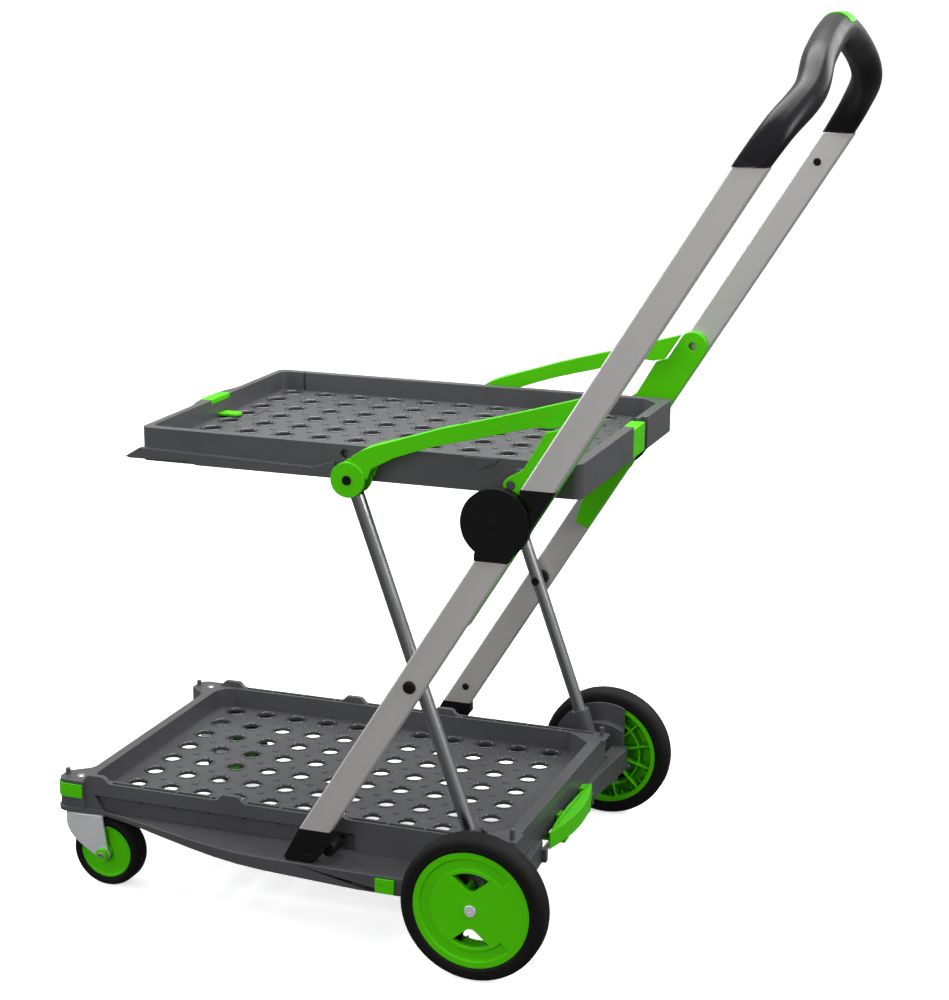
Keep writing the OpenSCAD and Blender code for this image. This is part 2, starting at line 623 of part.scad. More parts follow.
// Front latch: a rocker in the front wall with a strip on the rim and a finger tab over the floor
front_pin = [-151, 551];
module front_latch() {
    color(lime) difference() {
        union() {
            translate([-162.5, -26, 563]) cube([15.5, 50, 5.5]);
            layer([-11, 23]) polygon([[-152.9, 546.2], [-149, 546.2], [-149, 564], [-153.5, 564]]);
            translate([-150, -8, 546.2]) cube([18, 20, 3]);
            translate([-132, 2, 546.2]) cylinder(r = 10, h = 3);
        }
        bar(front_pin, 1.56, [-20, 40]);
    }
}
latch_y = [16, 64];
rear_pin = [356, 536];
module rear_latch() {
    color(lime) difference() {
        union() {
            translate([351.5, latch_y[0], 531]) cube([11.5, latch_y[1] - latch_y[0], 33.5]);
            translate([346.5, latch_y[0], 557.5]) cube([6, latch_y[1] - latch_y[0], 7]);
        }
        bar(rear_pin, 1.56, [0, 80]);
    }
}
module latch_pins() {
    color(steel) {
        bar(front_pin, 1.5, [-13.5, 25.5]);
        bar(rear_pin, 1.5, [latch_y[0] - 3, latch_y[1] + 3]);
    }
}

base_deck();
base_frame();
corner_clips();
side_clips();
caster_rivets();
rear_axle();
axle_caps();
rear_tyre(-1);  // rear_tyre_left
rear_tyre(1);  // rear_tyre_right
rear_rim(-1);  // rear_rim_left
rear_rim(1);  // rear_rim_right
caster_fork(-1);  // caster_fork_left
caster_fork(1);  // caster_fork_right
caster_axle(-1);  // caster_axle_left
caster_axle(1);  // caster_axle_right
caster_tyre(-1);  // caster_tyre_left
caster_tyre(1);  // caster_tyre_right
caster_hub(-1);  // caster_hub_left
caster_hub(1);  // caster_hub_right
foot_pedal();
release_lever();
pedal_pin();
leg_tube(-1);  // leg_tube_left
leg_tube(1);  // leg_tube_right
leg_eyes();
leg_top_plugs();
cross_bolts();
cross_washers();
mast_profile(-1);  // mast_profile_left
mast_profile(1);  // mast_profile_right
slide_feet();
lower_hinge(-1);  // lower_hinge_left
lower_hinge(1);  // lower_hinge_right
mast_screws();
handle_profile(-1);  // handle_profile_left
handle_profile(1);  // handle_profile_right
upper_hinge(-1);  // upper_hinge_left
upper_hinge(1);  // upper_hinge_right
hinge_covers();
grip();
grip_screws();
release_rods();
grip_button();
button_spring();
bracket(-1);  // bracket_left
bracket(1);  // bracket_right
tray_pivots();
arm(-1);  // arm_left
arm(1);  // arm_right
arm_screws();
upper_deck();
front_latch();
rear_latch();
latch_pins();
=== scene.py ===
# %% [markdown]
# This lesson dresses a folding platform cart: two perforated plastic decks, a scissor frame of tubes and
# flat profiles, a push handle with a padded grip, two large rear wheels and two swivel casters.
# The measured model is loaded first and stays as it is, so everything made below is placed against it.

# %% Load the measured model
import json
import math
import bmesh
import bpy
from mathutils import Matrix, Vector


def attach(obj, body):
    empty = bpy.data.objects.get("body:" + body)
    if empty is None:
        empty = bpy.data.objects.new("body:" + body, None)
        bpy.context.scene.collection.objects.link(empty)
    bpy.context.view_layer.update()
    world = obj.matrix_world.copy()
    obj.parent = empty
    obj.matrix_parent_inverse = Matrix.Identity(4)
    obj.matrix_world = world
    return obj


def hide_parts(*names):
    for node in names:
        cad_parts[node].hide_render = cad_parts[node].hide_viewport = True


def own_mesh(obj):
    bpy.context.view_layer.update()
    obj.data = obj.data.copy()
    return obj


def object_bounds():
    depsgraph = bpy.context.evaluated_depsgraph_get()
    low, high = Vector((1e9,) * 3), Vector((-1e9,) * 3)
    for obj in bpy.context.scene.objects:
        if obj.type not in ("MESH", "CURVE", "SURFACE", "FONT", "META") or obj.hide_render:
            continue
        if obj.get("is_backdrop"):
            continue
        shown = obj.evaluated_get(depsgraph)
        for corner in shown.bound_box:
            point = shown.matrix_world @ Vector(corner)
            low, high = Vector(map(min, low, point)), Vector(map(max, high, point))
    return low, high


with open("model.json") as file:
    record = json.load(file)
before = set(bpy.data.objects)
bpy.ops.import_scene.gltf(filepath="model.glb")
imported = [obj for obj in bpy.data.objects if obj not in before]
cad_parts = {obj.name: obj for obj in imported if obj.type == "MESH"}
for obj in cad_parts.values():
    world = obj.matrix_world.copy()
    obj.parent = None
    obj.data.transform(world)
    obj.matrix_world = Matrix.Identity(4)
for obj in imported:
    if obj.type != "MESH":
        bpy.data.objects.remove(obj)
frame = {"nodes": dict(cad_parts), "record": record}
model_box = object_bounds()
mm = 0.001

# %% [markdown]
# Moulded plastic is never one flat colour. Its pigment drifts a little, the mould leaves a fine grain, and
# handling makes some patches shinier. One helper builds all of that from noise in the object's own space,
# so each finish below only states its numbers. Values that are the same all over go on the shader itself.

# %% A helper for every finish
PATCH_LOW, PATCH_HIGH = 0.3, 0.7   # the part of a noise's range in which it changes a surface
SHINE = 0.06                       # how far the roughness strays either way
BUMP_DEPTH = 0.0004                # depth of the mould grain, in metres


def make_finish(name, colour, rough, metal=0.0, drift=0.12, drift_scale=9.0, grain=900.0, bump=0.12,
                stretch=(1.0, 1.0, 1.0), turn=(0.0, 0.0, 0.0), specular=0.5, edge=0.0):
    """A procedural material: colour drift, uneven roughness, a fine grain and, if asked, rounded edges."""
    mat = bpy.data.materials.new(name)
    mat.use_nodes = True
    tree = mat.node_tree
    shader = tree.nodes["Principled BSDF"]
    shader.inputs["Metallic"].default_value = metal
    shader.inputs["Specular IOR Level"].default_value = specular
    place = tree.nodes.new("ShaderNodeTexCoord")
    turned = tree.nodes.new("ShaderNodeMapping")
    turned.inputs["Rotation"].default_value = turn
    stretched = tree.nodes.new("ShaderNodeMapping")
    stretched.inputs["Scale"].default_value = stretch
    tree.links.new(place.outputs["Object"], turned.inputs["Vector"])
    tree.links.new(turned.outputs["Vector"], stretched.inputs["Vector"])

    def noise(scale, detail):
        node = tree.nodes.new("ShaderNodeTexNoise")
        node.inputs["Scale"].default_value = scale
        node.inputs["Detail"].default_value = detail
        tree.links.new(stretched.outputs["Vector"], node.inputs["Vector"])
        return node.outputs["Fac"]

    ramp = tree.nodes.new("ShaderNodeValToRGB")
    low, high = ramp.color_ramp.elements
    low.position, high.position = PATCH_LOW, PATCH_HIGH
    low.color = (*[c * (1 - drift) for c in colour], 1)
    high.color = (*[c * (1 + drift) for c in colour], 1)
    tree.links.new(noise(drift_scale, 5), ramp.inputs["Fac"])
    tree.links.new(ramp.outputs["Color"], shader.inputs["Base Color"])
    gloss = tree.nodes.new("ShaderNodeMapRange")
    gloss.inputs["From Min"].default_value = PATCH_LOW
    gloss.inputs["From Max"].default_value = PATCH_HIGH
    gloss.inputs["To Min"].default_value = rough - SHINE
    gloss.inputs["To Max"].default_value = rough + SHINE
    tree.links.new(noise(drift_scale * 3.3, 4), gloss.inputs["Value"])
    tree.links.new(gloss.outputs["Result"], shader.inputs["Roughness"])
    relief = tree.nodes.new("ShaderNodeBump")
    relief.inputs["Strength"].default_value = bump
    relief.inputs["Distance"].default_value = BUMP_DEPTH
    tree.links.new(noise(grain, 3), relief.inputs["Height"])
    tree.links.new(relief.outputs["Normal"], shader.inputs["Normal"])
    if edge:
        rounding = tree.nodes.new("ShaderNodeBevel")
        rounding.samples = 6
        rounding.inputs["Radius"].default_value = edge
        tree.links.new(rounding.outputs["Normal"], relief.inputs["Normal"])
    mat.diffuse_color = (*colour, 1)
    print("finish:", name, "roughness", rough)
    return mat

# %% [markdown]
# The cart wears thirteen finishes. The decks are a charcoal plastic with a satin mould grain, and the small
# parts a bright lime plastic. The profiles are satin anodised, so their brushing runs along them, and the leg
# tubes are drawn steel with long bright streaks. Rubber, plated and bright metals, two blacks and a near-black
# that paints the shade inside small recesses complete the list. The two slopes turn the brushing and the
# streaks so that they follow the parts they lie on.

# %% The finishes
PROFILE_SLOPE = math.radians(58.3)
LEG_TOP, LEG_FOOT = (110.5, 537), (273, 83.4)
LEG_SLOPE = math.atan2(LEG_TOP[1] - LEG_FOOT[1], LEG_FOOT[0] - LEG_TOP[0])
charcoal = make_finish("charcoal_moulding", (0.050, 0.0505, 0.053), 0.38, drift=0.09, bump=0.2, specular=0.45)
deck_moulding = make_finish("deck_moulding", (0.055, 0.0555, 0.058), 0.38, drift=0.09, bump=0.2, specular=0.45,
                            edge=0.0012)
polished = make_finish("polished_moulding", (0.040, 0.0405, 0.043), 0.2, drift=0.06, bump=0.04, specular=0.6)
lime = make_finish("lime_moulding", (0.058, 0.42, 0.0006), 0.42, drift=0.05, bump=0.08, specular=0.14)
rubber = make_finish("solid_rubber", (0.006, 0.0058, 0.0058), 0.6, drift=0.2, bump=0.35, grain=600,
                     specular=0.12)
satin = make_finish("satin_anodising", (0.54, 0.525, 0.51), 0.42, metal=0.6, drift=0.035, drift_scale=14,
                    stretch=(1, 1, 0.03), turn=(0, PROFILE_SLOPE - math.pi / 2, 0), grain=700, bump=0.05)
drawn = make_finish("drawn_steel", (0.36, 0.36, 0.37), 0.26, metal=1.0, drift=0.2, drift_scale=60,
                    stretch=(1, 1, 0.02), turn=(0, math.pi / 2 - LEG_SLOPE, 0), grain=500, bump=0.1)
zinc = make_finish("zinc_plate", (0.74, 0.75, 0.77), 0.34, metal=0.6, drift=0.05, drift_scale=12, bump=0.04)
satin_black = make_finish("satin_black", (0.005, 0.005, 0.0055), 0.42, drift=0.12, bump=0.1, specular=0.14)
grip_black = make_finish("grip_black", (0.0065, 0.006, 0.007), 0.3, drift=0.15, bump=0.2, grain=1200,
                         specular=0.16)
steel = make_finish("bright_steel", (0.62, 0.62, 0.64), 0.25, metal=1.0, drift=0.06, bump=0.05)
pressed = make_finish("pressed_cap", (0.60, 0.61, 0.63), 0.3, metal=0.4, drift=0.05, bump=0.05)
# The near-black below paints the shade inside the small recesses of the base deck.
hole_shade_black = make_finish("hole_shade_black", (0.003, 0.003, 0.003), 0.5, drift=0.1, bump=0.02, specular=0.1)
print("leg slope, degrees:", round(math.degrees(LEG_SLOPE), 1))

# %% [markdown]
# The measured model names a material slot for every part. Each slot gets one finish, and five parts get
# their own: the leg tubes their streaks, the axle caps a pressed look, and the decks one that rounds edges.

# %% Dress the measured parts
SLOT_FINISH = {"grey_plastic": charcoal, "lime_plastic": lime, "tyre_rubber": rubber,
               "anodised_aluminium": satin, "zinc_plate": zinc, "bright_steel": steel,
               "grip_plastic": grip_black, "black_plastic": satin_black}
OWN_FINISH = {"leg_tube_left": drawn, "leg_tube_right": drawn, "axle_caps": pressed,
              "base_deck": deck_moulding, "upper_deck": deck_moulding}
node_slot = {part["node"]: part["material_slot"] for part in frame["record"]["subparts"]}
node_body = {node: body for body, nodes in frame["record"]["behaviour"]["bodies"].items() for node in nodes}
for node, shown in frame["nodes"].items():
    shown.data.materials.clear()
    shown.data.materials.append(OWN_FINISH.get(node, SLOT_FINISH[node_slot[node]]))
print("dressed", len(node_slot), "nodes")

# %% [markdown]
# Every shape made in this lesson is a list of points in millimetres and a list of faces, so one helper turns
# both into a mesh. A second one makes that mesh a piece of the cart, which rides on the body it belongs to.

# %% Helpers that put a mesh in the scene
def new_mesh(name, points, faces, smooth=True):
    """A mesh from points in mm and lists of point numbers."""
    mesh = bpy.data.meshes.new(name)
    mesh.from_pydata([tuple(c * mm for c in point) for point in points], [], faces)
    mesh.update()
    if smooth:
        mesh.shade_smooth()
    return mesh


def add_piece(name, mesh, material, body):
    """Puts a mesh in the scene as one piece that rides on a body."""
    piece = bpy.data.objects.new(name, mesh)
    bpy.context.scene.collection.objects.link(piece)
    mesh.materials.clear()
    mesh.materials.append(material)
    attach(piece, body)
    return piece


print("parts to dress and round:", len(node_slot))

# %% [markdown]
# Real mouldings have no knife edges: each corner carries a small round that catches a thin highlight.
# The measured solids are sharp, so each one is copied, its flat triangles are merged, and a bevel with
# weighted normals rounds the copy. The copy stands for the solid, which stays hidden behind it.

# %% Round the edges of the measured parts
MERGE_GAP = 2e-6                   # corners closer than this, in metres, are one corner
FLAT_ANGLE = math.radians(0.1)     # faces that meet flatter than this become one face
SHARP_ANGLE = math.radians(32)     # edges sharper than this are rounded


def bare_mesh(node):
    """The node's shape without its stored normals, with its flat triangles merged."""
    source = frame["nodes"][node].data
    shape = bmesh.new()
    corners = [shape.verts.new(v.co) for v in source.vertices]
    for face in source.polygons:
        ring = [corners[i] for i in face.vertices]
        if len(set(ring)) > 2 and not shape.faces.get(ring):
            shape.faces.new(ring)
    bmesh.ops.remove_doubles(shape, verts=shape.verts, dist=MERGE_GAP)
    bmesh.ops.recalc_face_normals(shape, faces=shape.faces)
    bmesh.ops.dissolve_limit(shape, angle_limit=FLAT_ANGLE, verts=shape.verts, edges=shape.edges)
    bmesh.ops.recalc_face_normals(shape, faces=shape.faces)
    mesh = bpy.data.meshes.new("rounded_" + node)
    shape.to_mesh(mesh)
    shape.free()
    return mesh


def soften(piece, radius):
    """Smooth shading with a rounded edge wherever two faces meet sharply."""
    piece.data.shade_smooth()
    bevel = piece.modifiers.new("edge", "BEVEL")
    bevel.width = radius
    bevel.segments = 2
    bevel.limit_method = "ANGLE"
    bevel.angle_limit = SHARP_ANGLE
    bevel.use_clamp_overlap = False
    normals = piece.modifiers.new("normals", "WEIGHTED_NORMAL")
    normals.keep_sharp = False


EDGE_RADIUS = {"grey_plastic": 0.7 * mm, "lime_plastic": 0.6 * mm, "anodised_aluminium": 0.3 * mm,
               "zinc_plate": 0.4 * mm, "black_plastic": 0.5 * mm}
KEEP_SHARP = {"grip_button", "cross_bolts", "mast_screws", "grip_screws", "hinge_covers"}
# The decks have too many holes to merge and bevel cleanly; their finish rounds the edges by itself
PERFORATED = {"base_deck", "upper_deck"}
for node, slot in node_slot.items():
    if slot in EDGE_RADIUS and node not in KEEP_SHARP | PERFORATED:
        material = frame["nodes"][node].data.materials[0]
        piece = add_piece("rounded_" + node, bare_mesh(node), material, node_body[node])
        soften(piece, EDGE_RADIUS[slot])
        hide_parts(node)

# %% [markdown]
# Each hole in the decks is a short tube with a flared lip, which stiffens the thin floor and gives every
# hole its bright ring. The collar is one small outline turned round each hole centre, all in one mesh.

# %% Collars and pads on the deck floors
def turned_rings(outline, centres, steps=28):
    """One mesh of the closed outline (r, z) turned round every centre (x, y, z), all in mm."""
    points = []
    faces = []
    n = len(outline)
    for cx, cy, cz in centres:
        start = len(points)
        for i in range(steps):
            a = 2 * math.pi * i / steps
            points += [(cx + r * math.cos(a), cy + r * math.sin(a), cz + z) for r, z in outline]
        for i in range(steps):
            for j in range(n):
                k, m = (i + 1) % steps, (j + 1) % n
                faces.append((start + i * n + j, start + i * n + m, start + k * n + m, start + k * n + j))
    return new_mesh("turned", points, faces)


COLLAR = [(14.4, -0.2), (14.2, 0.5), (13.6, 1.05), (12.8, 1.3), (12.0, 1.1), (11.3, 0.45), (10.95, -0.7),
          (10.85, -4.0), (11.3, -4.1), (11.5, -2.0)]
PAD = [(4.2, -0.1), (4.15, 0.5), (3.8, 0.9), (3.0, 1.1), (0.05, 1.15), (0.05, -0.1)]
DECKS = {"base": (6.3, 43.9, 105.5), "tray": (103.5, 45.9, 544.5)}   # middle column, pitch, floor height
HALF_ROW = 23
ROWS = [HALF_ROW * k for k in range(-7, 8, 2)]
for body, (middle, pitch, floor) in DECKS.items():
    centres = [(middle + pitch * i, y, floor) for i in range(-5, 6) for y in ROWS]
    between = [(middle + pitch * (i + 0.5), y + HALF_ROW, floor) for i in range(-5, 5) for y in ROWS[:-1]]
    add_piece(body + "_hole_collars", turned_rings(COLLAR, centres), polished, body)
    add_piece(body + "_floor_pads", turned_rings(PAD, between, 16), deck_moulding, body)
    print(body, "collars:", len(centres), "pads:", len(between))

# %% [markdown]
# The grip is one long S-bend from each profile up to the crossbar. Its middle line is a smooth curve through
# six points on the near half, the last of them in the middle of the crossbar, and the other half mirrors it.

# %% The grip's middle line
GRIP_POINTS = [(529.5, 232.7, 872), (540, 232.7, 889), (562, 214, 925), (581, 164, 958.4), (579, 108, 991),
               (576.6, 0, 1014.3)]
across = Vector((-math.sin(PROFILE_SLOPE), 0, math.cos(PROFILE_SLOPE)))
corners = [Vector(q) for q in GRIP_POINTS]
before = 2 * corners[0] - corners[1]
after = Vector((corners[-2].x, -corners[-2].y, corners[-2].z))
ends = [before] + corners + [after]


def through(a, b, c, d, t):
    """A point of the smooth curve that passes through b and c."""
    return 0.5 * (2 * b + (c - a) * t + (2 * a - 5 * b + 4 * c - d) * t * t
                  + (3 * b - a - 3 * c + d) * t * t * t)


STEPS = 21
half = [through(*ends[i - 1:i + 3], k / STEPS) for i in range(1, 6) for k in range(STEPS)]
line = half + [corners[-1]] + [Vector((q.x, -q.y, q.z)) for q in reversed(half)]
print("points on the middle line:", len(line))

# %% [markdown]
# Along that line the section changes from the flat profile to a round bar. Fine rings make it smooth, and a
# narrow groove along both sides stands for the seam of the grip's two shells. The measured grip has a pocket
# for the button in the crossbar; this tube is closed there, so the button and its spring sit inside it.

# %% The padded grip
GRIP_SIDES = 48
SEAM_SIDES, SEAM_DEPTH = (11, 37), 0.35
FLAT_WIDE, FLAT_THIN, FLAT_POWER = 16, 7, 0.45       # half sizes and squareness of the flat section
MORE_WIDE, MORE_THIN, MORE_POWER = 1.3, 10, 0.55     # what the round section adds to them
CHANGE_START, CHANGE_LENGTH, SEAM_START = 7, 12, 9   # sevenths of the way from one grip point to the next


def grip_ring(i):
    """One ring round the grip's line: a rounded rectangle at its ends, a circle at the crossbar."""
    along = (line[min(i + 1, len(line) - 1)] - line[max(i - 1, 0)]).normalized()
    thin = along.cross(across).normalized()
    wide = thin.cross(along)
    near_end = min(i, len(line) - 1 - i) / STEPS * 7
    k = min(1.0, max(0.0, (near_end - CHANGE_START) / CHANGE_LENGTH))
    half_wide, half_thin = FLAT_WIDE + MORE_WIDE * k, FLAT_THIN + MORE_THIN * k
    power = FLAT_POWER + MORE_POWER * k
    ring = []
    for j in range(GRIP_SIDES):
        c, d = math.cos(2 * math.pi * j / GRIP_SIDES), math.sin(2 * math.pi * j / GRIP_SIDES)
        sink = SEAM_DEPTH if j in SEAM_SIDES and near_end > SEAM_START else 0.0
        ring.append(line[i] + wide * math.copysign(abs(c) ** power, c) * (half_wide - sink)
                    + thin * math.copysign(abs(d) ** power, d) * (half_thin - sink))
    return ring


def tube_mesh(name, rings):
    """A closed tube through rings of equal length, with flat ends."""
    n = len(rings[0])
    faces = [(i * n + j, i * n + (j + 1) % n, (i + 1) * n + (j + 1) % n, (i + 1) * n + j)
             for i in range(len(rings) - 1) for j in range(n)]
    faces += [tuple(range(n - 1, -1, -1)), tuple((len(rings) - 1) * n + j for j in range(n))]
    return new_mesh(name, [q for ring in rings for q in ring], faces)


GRIP_FOOT = 889.0
uphill = Vector((math.cos(PROFILE_SLOPE), 0, math.sin(PROFILE_SLOPE)))
rings = []
for i in range(len(line)):
    ring = grip_ring(i)
    if max(q.z for q in ring) > GRIP_FOOT:
        rings.append([q if q.z >= GRIP_FOOT else q + uphill * ((GRIP_FOOT - q.z) / uphill.z) for q in ring])
grip = add_piece("grip_smooth", tube_mesh("grip_smooth", rings), grip_black, node_body["grip"])
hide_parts("grip")
print("grip rings:", len(rings))

# %% [markdown]
# A small coil spring lifts the lime button in the crossbar. It is one wire swept round a helix. A spring is
# the one part here that changes length; this one is a fixed mesh that rides on the spring's body.

# %% Button spring
SPRING_FOOT = (577, 0, 1018.5)
SPRING_RADIUS, WIRE_RADIUS, SPRING_LENGTH = 4.0, 0.35, 3.4
TURNS, TURN_STEPS, WIRE_SIDES = 3, 24, 8


def coil_mesh(name):
    """The spring's wire, swept up a helix from the foot."""
    x, y, z = SPRING_FOOT
    count = TURNS * TURN_STEPS + 1
    climb = (SPRING_LENGTH - 2 * WIRE_RADIUS) / (count - 1)
    points = []
    for i in range(count):
        a = 2 * math.pi * i / TURN_STEPS
        for j in range(WIRE_SIDES):
            b = 2 * math.pi * j / WIRE_SIDES
            r = SPRING_RADIUS + WIRE_RADIUS * math.cos(b)
            points.append((x + r * math.cos(a), y + r * math.sin(a),
                           z + WIRE_RADIUS + climb * i + WIRE_RADIUS * math.sin(b)))
    faces = [(i * WIRE_SIDES + j, (i + 1) * WIRE_SIDES + j, (i + 1) * WIRE_SIDES + (j + 1) % WIRE_SIDES,
              i * WIRE_SIDES + (j + 1) % WIRE_SIDES) for i in range(count - 1) for j in range(WIRE_SIDES)]
    faces.append(tuple(range(WIRE_SIDES)))
    faces.append(tuple(range(count * WIRE_SIDES - 1, (count - 1) * WIRE_SIDES - 1, -1)))
    return new_mesh(name, points, faces)


spring = add_piece("grip_spring", coil_mesh("grip_spring"), steel, node_body["button_spring"])
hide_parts("button_spring")
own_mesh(spring)
print("spring faces:", len(spring.data.polygons))

# %% [markdown]
# Screw heads are small but they say what holds the cart together. One helper turns a domed head, sinks a
# six-sided socket into it and places it on its own axis. Black heads hold the arms, the cross and the
# profiles, and a bright one holds each caster wheel.

# %% Screw heads with sockets
SCREW_SIDES = 24
HEX = math.pi / 3


def circle(radius, z):
    """Points (x, y, z) round a circle at a height."""
    turns = [2 * math.pi * j / SCREW_SIDES for j in range(SCREW_SIDES)]
    return [(radius * math.cos(a), radius * math.sin(a), z) for a in turns]


def hexagon(size, z):
    """As many points as a circle has, on a hexagon of a given size."""
    turns = [2 * math.pi * j / SCREW_SIDES for j in range(SCREW_SIDES)]
    reach = [size / math.cos((a + HEX / 2) % HEX - HEX / 2) for a in turns]
    return [(r * math.cos(a), r * math.sin(a), z) for a, r in zip(turns, reach)]


def screw_head(name, place, outward, radius, height, material, body, socket=0.45):
    """A domed head with a hexagonal socket, its base at a place (mm), facing outward along Y."""
    sides = SCREW_SIDES
    outline = [(radius, -0.3), (radius, height * 0.4), (radius * 0.9, height * 0.75), (radius * 0.68, height)]
    loops = [circle(r, z) for r, z in outline]
    loops += [hexagon(radius * socket, z) for z in (height, height * 0.25)]
    points = [(place[0] + x, place[1] + outward * z, place[2] + y) for loop in loops for x, y, z in loop]
    faces = []
    for i in range(len(loops) - 1):
        for j in range(sides):
            k = (j + 1) % sides
            face = (i * sides + j, (i + 1) * sides + j, (i + 1) * sides + k, i * sides + k)
            faces.append(face if outward > 0 else face[::-1])
    floor_loop = [(len(loops) - 1) * sides + j for j in range(sides)]
    faces.append(tuple(floor_loop) if outward < 0 else tuple(reversed(floor_loop)))
    mesh = new_mesh(name, points, faces)
    mesh.set_sharp_from_angle(angle=math.radians(40))
    return add_piece(name, mesh, material, body)


# Each black head: its place on the right side, whether it faces outward, its radius, height and body
BLACK_HEADS = {"arm_screw_": ((110.5, 225.3, 537), 1, 5.3, 0.35, "arms"),
               "cross_screw_": ((189, 239.9, 317.2), 1, 7.3, 3.3, node_body["cross_bolts"]),
               "mast_screw_": ((87.6, 225.9, 156.9), -1, 4.6, 1.3, "mast"),
               "grip_screw_": ((518, 225.9, 854.6), -1, 4.6, 1.3, "handle")}
CASTER_AXLE = (-219.5, 174.6, 43.5)
CASTER_HALF = 25.5
SIDES = (("left", -1), ("right", 1))
for side, y in SIDES:
    for name, (place, outward, radius, height, body) in BLACK_HEADS.items():
        screw_head(name + side, (place[0], y * place[1], place[2]), outward * y, radius, height,
                   satin_black, body)
    for face in (-1, 1):
        screw_head("caster_screw_" + side + ("_out" if face == y else "_in"),
                   (CASTER_AXLE[0], y * CASTER_AXLE[1] + face * CASTER_HALF, CASTER_AXLE[2]), face, 3.9, 0.9,
                   steel, "caster_" + side, 0.5)

# %% [markdown]
# Each long wall of the upper deck carries a small hook under its rim. It is a flat outline given a
# thickness, drawn once and mirrored, because both sides of the deck are alike.

# %% Hooks under the upper deck's rim
HOOK = [(233, 567), (233.3, 563.8), (254.9, 555.1), (257.5, 558.2), (268.5, 562.2), (270.5, 565.3), (271, 567)]
HOOK_INNER, HOOK_OUTER = 189.6, 192.6
for side, y in SIDES:
    loop = HOOK if y > 0 else HOOK[::-1]
    points = [(x, y * HOOK_INNER, z) for x, z in loop] + [(x, y * HOOK_OUTER, z) for x, z in loop]
    n = len(loop)
    faces = [tuple(range(n)), tuple(reversed(range(n, 2 * n)))]
    faces += [(i, n + i, n + (i + 1) % n, (i + 1) % n) for i in range(n)]
    name = "tray_hook_" + side
    add_piece(name, new_mesh(name, points, faces, smooth=False), charcoal, "tray")
print("hook corners:", len(HOOK))

# %% [markdown]
# The base deck has small recesses at an even pitch, some at the top of the side slot and some on the wing
# below it. They are too small to model as holes, so the shade inside each is painted: a thin near-black box
# set into the surface.

# %% Painted shade for small recesses along the base deck
BOX_FACES = ((0, 1, 3, 2), (4, 6, 7, 5), (0, 4, 5, 1), (2, 3, 7, 6), (0, 2, 6, 4), (1, 5, 7, 3))


def boxes_mesh(name, boxes):
    """Many axis-aligned boxes, each (low corner, high corner) in mm, as one mesh."""
    points = []
    faces = []
    for low, high in boxes:
        n = len(points)
        points += [(x, y, z) for x in (low[0], high[0]) for y in (low[1], high[1]) for z in (low[2], high[2])]
        faces += [tuple(n + i for i in face) for face in BOX_FACES]
    return new_mesh(name, points, faces, smooth=False)


MARK_START, MARK_PITCH, MARK_COUNT = -214, 44.5, 8
SLOT_END, WING_END = 100, 60       # no mark beyond these on the slot and on the wing
marks = []
for _, y in SIDES:
    for i in range(MARK_COUNT):
        x = MARK_START + MARK_PITCH * i
        if MARK_START < x < SLOT_END:
            low, high = sorted((y * 190.15, y * 189.0))
            marks.append(((x - 0.9, low, 112.6), (x + 0.9, high, 114.6)))
        if x < WING_END:
            low, high = sorted((y * 193.0, y * 194.2))
            marks.append(((x + 24.0, low, 93.4), (x + 25.6, high, 93.65)))
# The near-black boxes are painted shade: each stands for the dark inside of one recess.
add_piece("base_side_painted_shade", boxes_mesh("base_side_painted_shade", marks), hole_shade_black, "base")
print("marks:", len(marks))

# %% [markdown]
# The camera stands about two and three quarter metres off the cart's left side, a little towards the rear and
# above the handle, with a long lens. Its place was worked out from the cart's own right angles.

# %% Camera
lens = bpy.data.cameras.new("camera")
lens.lens = 78.8
lens.shift_x = 0.0109
lens.shift_y = 0.0027
camera = bpy.data.objects.new("camera", lens)
bpy.context.scene.collection.objects.link(camera)
CAMERA_PLACE = Vector((1.0012, -2.3358, 1.0881))
yaw, pitch, roll = math.radians(19.72), math.radians(14.10), math.radians(0.435)
back = Vector((math.sin(yaw) * math.cos(pitch), -math.cos(yaw) * math.cos(pitch), math.sin(pitch)))
right = Vector((math.cos(yaw), math.sin(yaw), 0))
up = back.cross(right)
right, up = math.cos(roll) * right + math.sin(roll) * up, math.cos(roll) * up - math.sin(roll) * right
turn = Matrix((right, up, back)).transposed().to_4x4()
camera.matrix_world = Matrix.Translation(CAMERA_PLACE) @ turn
bpy.context.scene.camera = camera
print("camera at", tuple(round(c, 3) for c in camera.location))

# %% [markdown]
# The set is a white sweep: a bright floor, and a white shell all round that only closes the view. Both are
# seen by the camera alone, so they brighten the picture without washing out the cart's dark undersides.

# %% Floor and shell
FLOOR_REACH = 30000.0
SHELL_RADIUS, SHELL_BANDS, SHELL_SIDES = 28000, 12, 24
SHELL_TIP = 0.001                  # the share of its radius at which the shell closes, above and below


def glow_finish(name, strength, colour=0.9):
    """A plain white surface that also gives off light of its own."""
    mat = make_finish(name, (colour, colour, colour), 0.8, drift=0.01, bump=0.0, grain=60, specular=0.0)
    shader = mat.node_tree.nodes["Principled BSDF"]
    shader.inputs["Emission Color"].default_value = (1, 1, 1, 1)
    shader.inputs["Emission Strength"].default_value = strength
    return mat


def view_only(thing):
    """Seen by the camera alone: it lights nothing and shows in no reflection."""
    thing.visible_diffuse = False
    thing.visible_glossy = False
    thing.visible_transmission = False


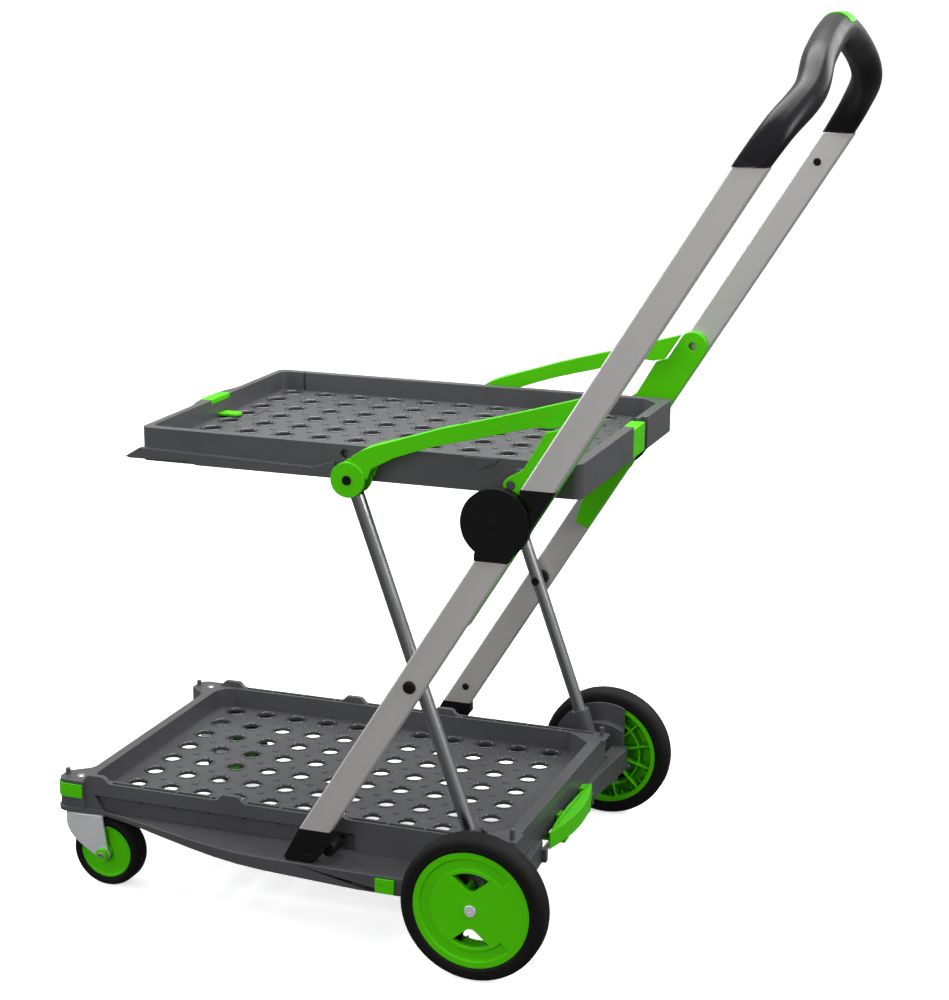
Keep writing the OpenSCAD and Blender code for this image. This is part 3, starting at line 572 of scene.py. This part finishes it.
far = FLOOR_REACH
floor_corners = [(-far, -far, 0), (far, -far, 0), (far, far, 0), (-far, far, 0)]
floor_mesh = new_mesh("studio_floor", floor_corners, [(0, 1, 2, 3)], smooth=False)
floor_mesh.materials.append(glow_finish("white_floor", 0.62, 0.8))
floor = bpy.data.objects.new("studio_floor", floor_mesh)
shell_rings = []
for i in range(SHELL_BANDS + 1):
    lift = -math.pi / 2 + math.pi * i / SHELL_BANDS
    r = SHELL_RADIUS * max(SHELL_TIP, math.cos(lift))
    around = [2 * math.pi * j / SHELL_SIDES for j in range(SHELL_SIDES)]
    height = SHELL_RADIUS * math.sin(lift)
    shell_rings.append([Vector((r * math.cos(a), r * math.sin(a), height)) for a in around])
shell_mesh = tube_mesh("studio_shell", shell_rings)
shell_mesh.materials.append(glow_finish("white_shell", 1.1, 0.0))
shell = bpy.data.objects.new("studio_shell", shell_mesh)
shell.visible_shadow = False
for thing in (floor, shell):
    bpy.context.scene.collection.objects.link(thing)
    view_only(thing)
    thing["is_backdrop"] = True
print("stage:", floor.name, shell.name)

# %% [markdown]
# The light comes from softboxes. One hangs overhead, one on each side puts the paired highlights into every
# collar, one behind draws the rims, and a soft front light opens the near faces without a reflection.

# %% Softboxes
def softbox(name, place, target, size, power):
    """A square area light at a place, aimed at a target."""
    data = bpy.data.lights.new(name, "AREA")
    data.shape = "SQUARE"
    data.size = size
    data.energy = power
    box = bpy.data.objects.new(name, data)
    bpy.context.scene.collection.objects.link(box)
    box.location = place
    aim = Vector(target) - Vector(place)
    box.rotation_euler = aim.to_track_quat("-Z", "Y").to_euler()
    return box


softbox("overhead", (0.1, 0.3, 2.7), (0.1, 0, 0.4), 2.2, 118)
softbox("left_key", (-2.6, -0.4, 1.7), (0.1, 0, 0.4), 1.0, 34)
softbox("right_fill", (2.6, -0.5, 1.6), (0.2, 0, 0.4), 1.0, 40)
softbox("rear_rim", (1.8, 2.2, 1.9), (0.2, 0, 0.4), 1.4, 26)
soft_front = softbox("front_fill", (-0.2, -3.0, 1.3), (0.1, 0, 0.4), 1.6, 44)
soft_front.visible_glossy = False

# %% [markdown]
# The sky is a plain near-white that is darker below the horizon and brighter above it, so the undersides stay
# deep. The strength follows the height of the direction looked in.

# %% Sky
world = bpy.data.worlds.new("studio")
bpy.context.scene.world = world
world.use_nodes = True
tree = world.node_tree
sky = tree.nodes["Background"]
sky.inputs["Color"].default_value = (0.98, 0.99, 1.0, 1)
direction = tree.nodes.new("ShaderNodeTexCoord")
split = tree.nodes.new("ShaderNodeSeparateXYZ")
height = tree.nodes.new("ShaderNodeMapRange")
height.inputs["From Min"].default_value = -0.25
height.inputs["From Max"].default_value = 0.35
height.inputs["To Min"].default_value = 0.14
height.inputs["To Max"].default_value = 0.62
tree.links.new(direction.outputs["Generated"], split.inputs["Vector"])
tree.links.new(split.outputs["Z"], height.inputs["Value"])
tree.links.new(height.outputs["Result"], sky.inputs["Strength"])
bpy.context.scene.view_settings.view_transform = "Standard"
print("sky:", world.name, "view:", bpy.context.scene.view_settings.view_transform)

# %% [markdown]
# Last, the box of what is shown is set against the box of the measured model, and how far it grew along
# each axis is printed, to see whether a piece stands out from the cart it dresses.

# %% Print how far the shown box grew and finish
shown_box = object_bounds()
growth = [[round((b - a) / mm, 1) for a, b in zip(m, s)] for m, s in zip(model_box, shown_box)]
print("shown box grew by mm:", growth)
